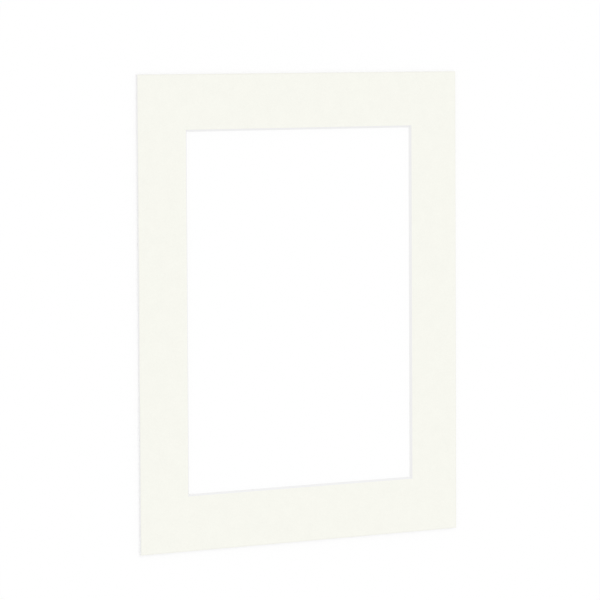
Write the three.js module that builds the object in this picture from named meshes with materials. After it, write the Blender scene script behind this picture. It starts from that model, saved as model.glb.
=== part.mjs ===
// Picture mount: one sheet of mount board with a bevel-cut window, lying face up.
// Millimetres, +Z up. The origin is the middle of the sheet's back, which lies on Z = 0.
// Seen from the face, +X is the sheet's right side and +Y its top.

import * as THREE from "three";

// Driving dimensions
const SHEET_WIDTH = 240; // outer size along X, for a 24 x 30 cm frame
const SHEET_HEIGHT = 300; // outer size along Y
const SIGHT_WIDTH = 168; // the window at its smallest, at the back, over a picture 180 wide
const SIGHT_HEIGHT = 228; // the same along Y, over a picture 240 high
const BOARD_THICKNESS = 1.5; // facing paper, core and backing paper, pasted into one board
const BEVEL_ANGLE = 45; // slope of the window's cut, in degrees from the face
const SIGHT_LAND = 0.12; // square edge left on the backing paper, under the bevel
const BEVEL_ROUND = 0.1; // radius where the knife enters, between the face and the bevel
const FACE_ROUND = 0.2; // radius that the guillotine presses into the face's outer edge
const BACK_ROUND = 0.08; // radius of the outer edge at the back, where the blade leaves
const ROUND_STEPS = 4; // straight steps along each rounded edge

// Material, as seen from the face
const FACE_COLOUR = "#f8f8f0";
const FACE_ROUGHNESS = 0.9;

const bevelSlope = THREE.MathUtils.degToRad(BEVEL_ANGLE);
const bevelRun = (BOARD_THICKNESS - SIGHT_LAND) / Math.tan(bevelSlope);

// Points of an arc in a section, as [distance, height], from one angle to another in radians.
function arc([x, z], radius, from, to) {
  const points = [];
  for (let step = 0; step <= ROUND_STEPS; step++) {
    const angle = THREE.MathUtils.lerp(from, to, step / ROUND_STEPS);
    points.push([x + radius * Math.cos(angle), z + radius * Math.sin(angle)]);
  }
  return points;
}

// Section of the guillotined outer edge, from the back up to the face.
// The distance is how far a point lies inside the sheet's outline.
function outerEdge() {
  const backCentre = [BACK_ROUND, BACK_ROUND];
  const faceCentre = [FACE_ROUND, BOARD_THICKNESS - FACE_ROUND];
  return [
    ...arc(backCentre, BACK_ROUND, -Math.PI / 2, -Math.PI),
    ...arc(faceCentre, FACE_ROUND, Math.PI, Math.PI / 2),
  ];
}

// Section of the window's edge, from the face down the bevel to the back.
// The distance is how far a point lies outside the sight opening.
function windowEdge() {
  const tangent = BEVEL_ROUND * Math.tan(bevelSlope / 2);
  const faceCentre = [bevelRun + tangent, BOARD_THICKNESS - BEVEL_ROUND];
  return [
    ...arc(faceCentre, BEVEL_ROUND, Math.PI / 2, Math.PI / 2 + bevelSlope),
    [0, SIGHT_LAND],
    [0, 0],
  ];
}

// The rectangles that the section's points trace round the sheet, in order round the section.
function tracedRectangles() {
  const outside = outerEdge().map(([inset, z]) => ({
    halfWidth: SHEET_WIDTH / 2 - inset,
    halfHeight: SHEET_HEIGHT / 2 - inset,
    z,
  }));
  const inside = windowEdge().map(([outset, z]) => ({
    halfWidth: SIGHT_WIDTH / 2 + outset,
    halfHeight: SIGHT_HEIGHT / 2 + outset,
    z,
  }));
  return [...outside, ...inside];
}

// A closed ring with mitred corners: each rectangle is joined to the next, and the last to the first.
function mitredRing(rectangles) {
  const corners = [
    [1, 1],
    [-1, 1],
    [-1, -1],
    [1, -1],
  ];
  const positions = [];
  for (const { halfWidth, halfHeight, z } of rectangles) {
    for (const [sideX, sideY] of corners) {
      positions.push(sideX * halfWidth, sideY * halfHeight, z);
    }
  }
  const vertex = (ring, corner) =>
    (ring % rectangles.length) * corners.length + (corner % corners.length);
  const triangles = [];
  for (let ring = 0; ring < rectangles.length; ring++) {
    for (let corner = 0; corner < corners.length; corner++) {
      const a = vertex(ring, corner);
      const b = vertex(ring, corner + 1);
      const c = vertex(ring + 1, corner + 1);
      const d = vertex(ring + 1, corner);
      triangles.push(a, b, c, a, c, d);
    }
  }
  const geometry = new THREE.BufferGeometry();
  geometry.setAttribute("position", new THREE.Float32BufferAttribute(positions, 3));
  geometry.setIndex(triangles);
  geometry.computeVertexNormals();
  return geometry;
}

// The whole mount: the facing, core and backing of the board never come apart, so it is one solid.
function mountBoard() {
  const material = new THREE.MeshStandardMaterial({
    color: FACE_COLOUR,
    roughness: FACE_ROUGHNESS,
    metalness: 0,
    flatShading: true,
  });
  const mesh = new THREE.Mesh(mitredRing(tracedRectangles()), material);
  mesh.name = "mount_board";
  return mesh;
}

const pictureMount = new THREE.Group();
pictureMount.add(mountBoard());

export default pictureMount;
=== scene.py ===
import math

import bpy
from mathutils import Matrix, Vector


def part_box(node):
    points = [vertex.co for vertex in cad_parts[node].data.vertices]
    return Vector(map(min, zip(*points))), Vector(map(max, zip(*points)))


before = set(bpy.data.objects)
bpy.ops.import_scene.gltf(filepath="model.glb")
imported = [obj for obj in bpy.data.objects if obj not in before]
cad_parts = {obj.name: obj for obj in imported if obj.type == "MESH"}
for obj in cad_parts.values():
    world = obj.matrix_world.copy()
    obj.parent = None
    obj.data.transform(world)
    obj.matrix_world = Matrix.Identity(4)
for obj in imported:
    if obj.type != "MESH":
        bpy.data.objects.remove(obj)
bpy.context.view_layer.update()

# The sheet lies face up with its back on Z = 0. Lengths are in metres where nothing else is said.
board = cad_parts["mount_board"]
HALF_WIDTH, HALF_HEIGHT, BOARD_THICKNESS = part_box("mount_board")[1]

# Camera: from the sheet's left, looking down, with the sheet's top upwards in the picture
CAMERA_PLACE = Vector((-1.3198, 0.1731, 2.0633))
CAMERA_AIM = Vector((-0.0003, 0.0051, 0.0))
CAMERA_ROLL = math.radians(-0.275)  # turn of the picture's up from the sheet's +Y
SENSOR_WIDTH = 36.0  # mm
CAMERA_LENS = 230.5  # mm
CLIP_RANGE = (0.01, 100.0)

# Plies of the board
FACING_THICKNESS = 0.00013  # cream paper pasted on the face
BACKING_THICKNESS = 0.00012  # lining paper on the back
PLY_BLEND = 0.00002  # half the height over which one ply gives way to the next where it is cut
PLY_WANDER = 0.00003  # range over which torn fibres carry that line up and down

# Colours as a screen shows them, 0 to 255
FACING_COLOUR = (248, 248, 240)
# The core's grey is painted shade: the real core is as white as the facing, and this grey darkens
# the bevels and cut edges.
CORE_COLOUR_WITH_PAINTED_SHADE = (241, 241, 241)
BACKING_COLOUR = (244, 244, 240)

# Paper: the size of each pattern, how strongly it shows in the colour, and how deep it is
CLOUD_SIZE = 0.009  # patches of denser and thinner pulp
CLOUD_TINT = 0.03
FLECK_SIZE = 0.0008
FLECK_TINT = 0.02
TOOTH_SIZE = 0.00035
TOOTH_DETAIL = 3.0
TOOTH_DEPTH = 0.000025
FELT_SIZE = 0.0022  # broad soft waves that the press leaves
FELT_DEPTH = 0.000020
FIBRE_LENGTH = 0.0016
FIBRE_WIDTH = 0.00012
FIBRE_DETAIL = 1.0
FIBRE_TINT = 0.05
FIBRE_DEPTH = 0.000012
FIBRE_TURNS = (10, 58, 101, 149)  # degrees from +X
PLAIN_DETAIL = 2.0  # octaves of the other patterns

# Outer edge: the paper is a little greyer there, partly from the guillotine and handling and partly
# as painted shade along the cut edge
RIM_REACH = 0.001  # how far in from the edge
RIM_WANDER = 0.0005  # range over which that line wanders in and out
RIM_WEAR_AND_PAINTED_SHADE = 0.045  # share of its colour that the paper loses at the very edge, through wear and painted shade

# Cut edges: fine lines that the blade draws along the core
STREAK_LENGTH = 0.012
STREAK_WIDTH = 0.00012
STREAK_TINT = 0.08
STREAK_DEPTH = 0.000012

PAPER_ROUGHNESS = 0.88
CORE_ROUGHNESS = 0.97
SPECULAR_LEVEL = 0.25  # half of the usual, since paper hardly shines

# Light, as shares of the level at which a colour renders as it is written
KEY_SHARE = 0.025
KEY_HEIGHT = math.radians(42)  # above the floor
KEY_SPREAD = math.radians(12)  # how wide the lamp looks from the sheet
KEY_AZIMUTH = math.radians(50)  # from +X towards +Y: the upper right of the picture

FLOOR_HALF_WIDTH = 30.0


def linear(colour):
    """Screen colour, 0 to 255, as linear light with an alpha of 1."""
    parts = [c / 255 for c in colour]
    return [c / 12.92 if c <= 0.04045 else ((c + 0.055) / 1.055) ** 2.4 for c in parts] + [1.0]


def grey(value):
    """A linear grey with an alpha of 1."""
    return (value, value, value, 1.0)


def even(size):
    """The same size along X, Y and Z."""
    return (size, size, size)


def node(tree, kind, inputs=None, **settings):
    """A new node; inputs gives its sockets numbers, colours or another node's output."""
    made = tree.nodes.new(kind)
    for name, value in settings.items():
        setattr(made, name, value)
    for name, value in (inputs or {}).items():
        if isinstance(value, bpy.types.NodeSocket):
            tree.links.new(value, made.inputs[name])
        else:
            made.inputs[name].default_value = value
    return made


def maths(tree, operation, *values):
    """The output of one sum on numbers or other outputs."""
    return node(tree, "ShaderNodeMath", dict(enumerate(values)), operation=operation).outputs[0]


def added(tree, first, *others):
    """The sum of some outputs."""
    total = first
    for other in others:
        total = maths(tree, "ADD", total, other)
    return total


def ramp(tree, value, start, end):
    """0 at start, 1 at end, straight between them and level beyond them."""
    inputs = {"Value": value, "From Min": start, "From Max": end}
    return node(tree, "ShaderNodeMapRange", inputs, clamp=True).outputs["Result"]


def mix_number(tree, factor, a, b):
    """a where factor is 0, b where it is 1."""
    return node(tree, "ShaderNodeMix", {0: factor, 2: a, 3: b}, data_type="FLOAT").outputs[0]


def mix_colour(tree, factor, a, b):
    """Colour a where factor is 0, b where it is 1."""
    return node(tree, "ShaderNodeMix", {0: factor, 6: a, 7: b}, data_type="RGBA").outputs[2]


def noise(tree, place, size, strength, detail=PLAIN_DETAIL, turn=0.0):
    """Smooth noise about 0 with a range of strength.

    Its grains measure size along X, Y and Z before their turn about Z.
    """
    mapping = {"Vector": place, "Scale": size, "Rotation": (0.0, 0.0, turn)}
    placed = node(tree, "ShaderNodeMapping", mapping, vector_type="TEXTURE")
    inputs = {"Vector": placed.outputs[0], "Scale": 1.0, "Detail": detail}
    from_0_to_1 = node(tree, "ShaderNodeTexNoise", inputs).outputs[0]
    return maths(tree, "MULTIPLY", maths(tree, "SUBTRACT", from_0_to_1, 0.5), strength)


def fibres(tree, place):
    """Noise about 0 of fibres that lie across one another."""
    size = (FIBRE_LENGTH, FIBRE_WIDTH, FIBRE_WIDTH)
    turns = [math.radians(turn) for turn in FIBRE_TURNS]
    return added(tree, *[noise(tree, place, size, 1.0, FIBRE_DETAIL, turn) for turn in turns])


def cut_streaks(tree, coordinates):
    """Noise drawn out along the cut: along Y where the cut faces sideways, along X elsewhere."""
    normal = node(tree, "ShaderNodeSeparateXYZ", {0: coordinates.outputs["Normal"]})
    sideways = maths(tree, "ABSOLUTE", normal.outputs["X"])
    lengthways = maths(tree, "ABSOLUTE", normal.outputs["Y"])
    along_y = maths(tree, "GREATER_THAN", sideways, lengthways)
    place = coordinates.outputs["Object"]
    on_x = noise(tree, place, (STREAK_LENGTH, STREAK_WIDTH, STREAK_WIDTH), 1.0)
    on_y = noise(tree, place, (STREAK_WIDTH, STREAK_LENGTH, STREAK_WIDTH), 1.0)
    return mix_number(tree, along_y, on_x, on_y)


def rim(tree, place):
    """1 at the sheet's outer edge, falling to 0 at RIM_REACH inside it."""
    flat = node(tree, "ShaderNodeSeparateXYZ", {0: place})
    from_side = maths(tree, "SUBTRACT", HALF_WIDTH, maths(tree, "ABSOLUTE", flat.outputs["X"]))
    from_end = maths(tree, "SUBTRACT", HALF_HEIGHT, maths(tree, "ABSOLUTE", flat.outputs["Y"]))
    inside = maths(tree, "MINIMUM", from_side, from_end)
    wander = noise(tree, place, even(FELT_SIZE), RIM_WANDER)
    return ramp(tree, maths(tree, "ADD", inside, wander), RIM_REACH, 0.0)


def plies(tree, place):
    """Two masks by height: 1 in the facing and 0 below it, and 1 above the backing and 0 in it."""
    height = node(tree, "ShaderNodeSeparateXYZ", {0: place}).outputs["Z"]
    torn = maths(tree, "ADD", height, noise(tree, place, even(FLECK_SIZE), PLY_WANDER))
    facing_start = BOARD_THICKNESS - FACING_THICKNESS
    facing = ramp(tree, torn, facing_start - PLY_BLEND, facing_start + PLY_BLEND)
    above_backing = ramp(tree, torn, BACKING_THICKNESS - PLY_BLEND, BACKING_THICKNESS + PLY_BLEND)
    return facing, above_backing


def board_colour(tree, facing, above_backing, tint):
    """The colour of each ply, made a little lighter or darker by the tint."""
    core_or_backing = mix_colour(tree, above_backing, linear(BACKING_COLOUR), linear(CORE_COLOUR_WITH_PAINTED_SHADE))
    plain = mix_colour(tree, facing, core_or_backing, linear(FACING_COLOUR))
    level = maths(tree, "ADD", tint, 1.0)
    return node(tree, "ShaderNodeVectorMath", {0: plain, 1: level}, operation="MULTIPLY").outputs[0]


def mount_board_material():
    """Cream facing paper, a neutral core bared by the cuts and greyed with painted shade, and a
    lining paper on the back.
    """
    material = bpy.data.materials.new("mount_board")
    material.use_nodes = True
    tree = material.node_tree
    tree.nodes.clear()
    coordinates = node(tree, "ShaderNodeTexCoord")
    place = coordinates.outputs["Object"]
    facing, above_backing = plies(tree, place)
    paper = maths(tree, "MAXIMUM", facing, maths(tree, "SUBTRACT", 1.0, above_backing))
    crossed = fibres(tree, place)
    streaks = cut_streaks(tree, coordinates)

    clouds = noise(tree, place, even(CLOUD_SIZE), CLOUD_TINT)
    flecks = noise(tree, place, even(FLECK_SIZE), FLECK_TINT)
    fibre_tint = maths(tree, "MULTIPLY", crossed, FIBRE_TINT)
    # Greyer outer rim: partly wear, partly painted shade along the cut edge
    rim_wear_and_painted_shade = maths(tree, "MULTIPLY", rim(tree, place), -RIM_WEAR_AND_PAINTED_SHADE)
    paper_tint = added(tree, clouds, flecks, fibre_tint, rim_wear_and_painted_shade)
    core_tint = maths(tree, "MULTIPLY", streaks, STREAK_TINT)
    tint = mix_number(tree, paper, core_tint, paper_tint)

    tooth = noise(tree, place, even(TOOTH_SIZE), TOOTH_DEPTH, TOOTH_DETAIL)
    felt = noise(tree, place, even(FELT_SIZE), FELT_DEPTH)
    fibre_relief = maths(tree, "MULTIPLY", crossed, FIBRE_DEPTH)
    paper_relief = added(tree, tooth, felt, fibre_relief)
    core_relief = maths(tree, "MULTIPLY", streaks, STREAK_DEPTH)
    relief = mix_number(tree, paper, core_relief, paper_relief)
    bump = node(tree, "ShaderNodeBump", {"Strength": 1.0, "Distance": 1.0, "Height": relief})

    shader = node(tree, "ShaderNodeBsdfPrincipled", {
        "Base Color": board_colour(tree, facing, above_backing, tint),
        "Roughness": mix_number(tree, paper, CORE_ROUGHNESS, PAPER_ROUGHNESS),
        "Specular IOR Level": SPECULAR_LEVEL,
        "Normal": bump.outputs[0],
    })
    node(tree, "ShaderNodeOutputMaterial", {"Surface": shader.outputs[0]})
    return material


def seen_directly(tree):
    """1 on rays from the camera, a mirror or through glass, 0 on rays that only carry light."""
    ray = node(tree, "ShaderNodeLightPath").outputs
    bent = maths(tree, "MAXIMUM", ray["Is Glossy Ray"], ray["Is Transmission Ray"])
    return maths(tree, "MAXIMUM", ray["Is Camera Ray"], bent)


def make_camera():
    """A camera at the photograph's angle to the sheet's face."""
    data = bpy.data.cameras.new("camera")
    data.lens = CAMERA_LENS
    data.sensor_width = SENSOR_WIDTH
    data.clip_start, data.clip_end = CLIP_RANGE
    camera = bpy.data.objects.new("camera", data)
    back = (CAMERA_PLACE - CAMERA_AIM).normalized()
    right = Vector((0, 1, 0)).cross(back).normalized()
    up = back.cross(right)
    upright = Matrix((right, up, back)).transposed()
    turned = Matrix.Rotation(CAMERA_ROLL, 3, back) @ upright
    camera.matrix_world = Matrix.Translation(CAMERA_PLACE) @ turned.to_4x4()
    bpy.context.scene.collection.objects.link(camera)
    bpy.context.scene.camera = camera


def make_world():
    """An even dome of light, which looks plain white itself."""
    world = bpy.data.worlds.new("world")
    world.use_nodes = True
    tree = world.node_tree
    tree.nodes.clear()
    strength = mix_number(tree, seen_directly(tree), 1.0 - KEY_SHARE, 1.0)
    light = node(tree, "ShaderNodeBackground", {"Color": grey(1.0), "Strength": strength})
    node(tree, "ShaderNodeOutputWorld", {"Surface": light.outputs[0]})
    bpy.context.scene.world = world


def make_key():
    """A distant soft lamp that gives a level surface its share of the light."""
    data = bpy.data.lights.new("key", "SUN")
    data.energy = KEY_SHARE * math.pi / math.sin(KEY_HEIGHT)
    data.angle = KEY_SPREAD
    key = bpy.data.objects.new("key", data)
    towards = Vector((
        math.cos(KEY_HEIGHT) * math.cos(KEY_AZIMUTH),
        math.cos(KEY_HEIGHT) * math.sin(KEY_AZIMUTH),
        math.sin(KEY_HEIGHT),
    ))
    key.rotation_mode = "QUATERNION"
    key.rotation_quaternion = towards.to_track_quat("Z", "Y")
    bpy.context.scene.collection.objects.link(key)


def make_floor():
    """A plain white floor that keeps the sheet's shadow."""
    mesh = bpy.data.meshes.new("floor")
    far = FLOOR_HALF_WIDTH
    corners = [(-far, -far, 0), (far, -far, 0), (far, far, 0), (-far, far, 0)]
    mesh.from_pydata(corners, [], [(0, 1, 2, 3)])
    floor = bpy.data.objects.new("floor", mesh)
    material = bpy.data.materials.new("floor")
    material.use_nodes = True
    tree = material.node_tree
    tree.nodes.clear()
    shader = node(tree, "ShaderNodeBsdfDiffuse", {"Color": grey(1.0)})
    node(tree, "ShaderNodeOutputMaterial", {"Surface": shader.outputs[0]})
    mesh.materials.append(material)
    bpy.context.scene.collection.objects.link(floor)


make_camera()
board.material_slots[0].material = mount_board_material()
make_world()
make_key()
make_floor()
bpy.context.scene.view_settings.view_transform = "Standard"
